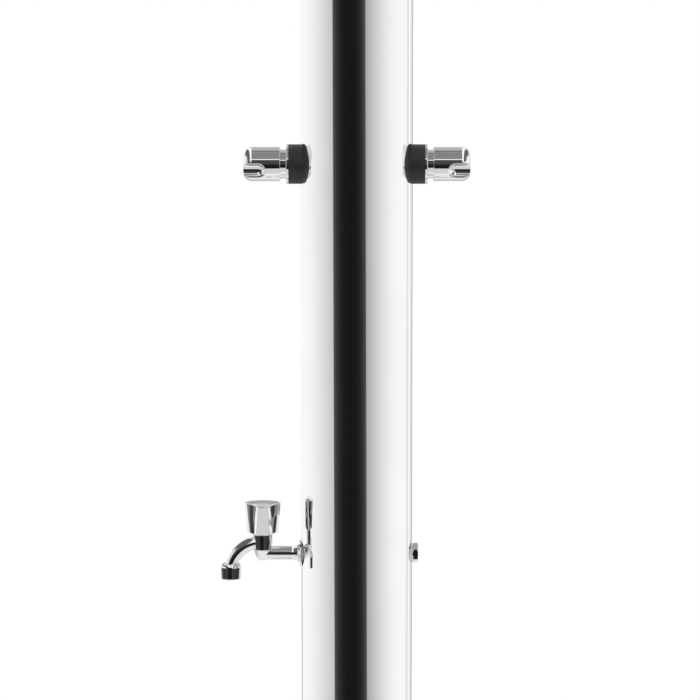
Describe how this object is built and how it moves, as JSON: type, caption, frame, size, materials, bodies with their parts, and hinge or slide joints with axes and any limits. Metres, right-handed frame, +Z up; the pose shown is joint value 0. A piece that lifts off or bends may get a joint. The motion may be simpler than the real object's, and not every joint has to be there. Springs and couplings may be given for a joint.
{
  "type": "outdoor shower post",
  "caption": "Mirror-polished tube on a bolt-down round plate, with push-button timed showers on both sides and a foot-wash tap.",
  "frame": {"origin": "centre of the base plate's underside, on the post's axis", "axes": "+Z up the post, X through both push buttons with the tap on -X, -Y towards the picture's camera"},
  "size_m": [0.483, 0.25, 2.268],
  "materials": {
    "mirror_steel": "mirror-polished stainless steel",
    "chrome_plate": "bright chrome plate on brass",
    "bare_brass": "satin",
    "black_rubber": "matte",
    "plain_steel": "satin",
    "water_pipe": "satin",
    "white_ceramic": "gloss",
    "grey_plastic": "matte"
  },
  "bodies": {
    "post_assembly": {"aerator": "grey_plastic", "arm_gaskets": "black_rubber", "arm_rosette_left": "chrome_plate", "arm_rosette_right": "chrome_plate", "ball_nut_left": "chrome_plate", "ball_nut_right": "chrome_plate", "base_plate": "mirror_steel", "bezel_left": "chrome_plate", "bezel_right": "chrome_plate", "blanking_plug": "chrome_plate", "cap_screws": "plain_steel", "feed_pipes": "water_pipe", "fixed_disc": "white_ceramic", "head_elbows": "bare_brass", "headwork": "bare_brass", "inlet_screws": "plain_steel", "inlet_union": "bare_brass", "inner_washers": "black_rubber", "lock_nuts": "bare_brass", "lower_manifold": "bare_brass", "nozzle": "chrome_plate", "outlet_pipes": "water_pipe", "port_seals": "black_rubber", "post": "mirror_steel", "return_spring_left": "plain_steel", "return_spring_right": "plain_steel", "riser_pipe": "water_pipe", "riser_splitter": "bare_brass", "saddle_gasket_left": "black_rubber", "saddle_gasket_right": "black_rubber", "seat_ring": "black_rubber", "shower_arm_left": "chrome_plate", "shower_arm_right": "chrome_plate", "stem_bush_left": "bare_brass", "stem_bush_right": "bare_brass", "stem_seals": "black_rubber", "supply_pipe": "water_pipe", "tap_body": "chrome_plate", "tap_flange": "chrome_plate", "top_cap": "mirror_steel", "valve_body_left": "bare_brass", "valve_body_right": "bare_brass", "valve_end_plugs": "bare_brass"},
    "button_left": {"button_cap_left": "chrome_plate", "button_stem_left": "bare_brass", "poppet_washer_left": "black_rubber"},
    "button_right": {"button_cap_right": "chrome_plate", "button_stem_right": "bare_brass", "poppet_washer_right": "black_rubber"},
    "knob_body": {"knob_index": "chrome_plate", "knob_screw": "plain_steel", "spindle": "bare_brass", "tap_knob": "chrome_plate", "turning_disc": "white_ceramic"},
    "head_left": {"head_screw_left": "plain_steel", "shower_head_left": "chrome_plate", "spray_plate_left": "chrome_plate"},
    "head_right": {"head_screw_right": "plain_steel", "shower_head_right": "chrome_plate", "spray_plate_right": "chrome_plate"}
  },
  "joints": [
    {"name": "button_left_press", "type": "slide", "parent": "post_assembly", "child": "button_left", "axis": [1, 0, 0], "range_m": [0, 0.006], "stiffness_N_per_m": 1500, "springref_m": -0.008, "deforming": ["return_spring_left"]},
    {"name": "button_right_press", "type": "slide", "parent": "post_assembly", "child": "button_right", "axis": [-1, 0, 0], "range_m": [0, 0.006], "stiffness_N_per_m": 1500, "springref_m": -0.008, "deforming": ["return_spring_right"]},
    {"name": "tap_turn", "type": "hinge", "parent": "post_assembly", "child": "knob_body", "pos_m": [-0.119, 0, 0.555], "axis": [0, 0, 1], "range_deg": [0, 90]},
    {"name": "head_left_tilt", "type": "hinge", "parent": "post_assembly", "child": "head_left", "pos_m": [-0.17052, 0, 2.10073], "axis": [0, -1, 0], "range_deg": [-15, 15]},
    {"name": "head_right_tilt", "type": "hinge", "parent": "post_assembly", "child": "head_right", "pos_m": [0.17052, 0, 2.10073], "axis": [0, 1, 0], "range_deg": [-15, 15]}
  ]
}
